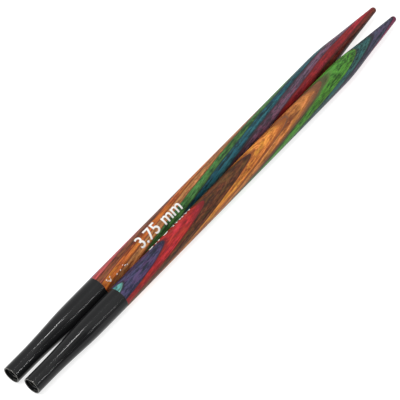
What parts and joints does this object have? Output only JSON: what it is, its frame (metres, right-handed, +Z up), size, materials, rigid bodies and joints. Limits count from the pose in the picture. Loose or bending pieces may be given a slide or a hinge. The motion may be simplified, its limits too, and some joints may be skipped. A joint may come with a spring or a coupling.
{
  "type": "interchangeable knitting needle tips",
  "caption": "Pair of slim pointed knitting needle tips of obliquely laminated, multi-coloured dyed wood, each with a black tapered metal ferrule threaded for a cable.",
  "frame": {"origin": "midway along and between the two needles, on the surface that they lie on", "axes": "+X along the needles from the ferrules to the points, +Y from needle b to needle a, +Z up"},
  "size_m": [0.0892, 0.0076, 0.0037],
  "materials": {
    "veneer_red": "red dyed birch veneer, resin bonded, sanded and clear lacquered",
    "veneer_brown": "brown dyed birch veneer, resin bonded, sanded and clear lacquered",
    "veneer_orange": "orange dyed birch veneer, resin bonded, sanded and clear lacquered",
    "veneer_tan": "tan dyed birch veneer, resin bonded, sanded and clear lacquered",
    "veneer_green": "green dyed birch veneer, resin bonded, sanded and clear lacquered",
    "veneer_teal": "teal dyed birch veneer, resin bonded, sanded and clear lacquered",
    "veneer_purple": "purple dyed birch veneer, resin bonded, sanded and clear lacquered",
    "ferrule_plating": "glossy black plating on brass",
    "adhesive": "cured clear epoxy"
  },
  "bodies": {
    "needle_a": {"adhesive_a": "adhesive", "ferrule_a": "ferrule_plating", "veneer_a01_purple": "veneer_purple", "veneer_a02_red": "veneer_red", "veneer_a03_brown": "veneer_brown", "veneer_a04_orange": "veneer_orange", "veneer_a05_tan": "veneer_tan", "veneer_a06_green": "veneer_green", "veneer_a07_teal": "veneer_teal", "veneer_a08_purple": "veneer_purple", "veneer_a09_red": "veneer_red", "veneer_a10_brown": "veneer_brown"},
    "needle_b": {"adhesive_b": "adhesive", "ferrule_b": "ferrule_plating", "veneer_b01_teal": "veneer_teal", "veneer_b02_purple": "veneer_purple", "veneer_b03_red": "veneer_red", "veneer_b04_brown": "veneer_brown", "veneer_b05_orange": "veneer_orange", "veneer_b06_tan": "veneer_tan", "veneer_b07_green": "veneer_green", "veneer_b08_teal": "veneer_teal", "veneer_b09_purple": "veneer_purple", "veneer_b10_red": "veneer_red"}
  },
  "joints": [
    {"name": "needle_b_slide", "type": "slide", "parent": "needle_a", "child": "needle_b", "axis": [0, -1, 0], "range_m": [0, 0.03]}
  ]
}
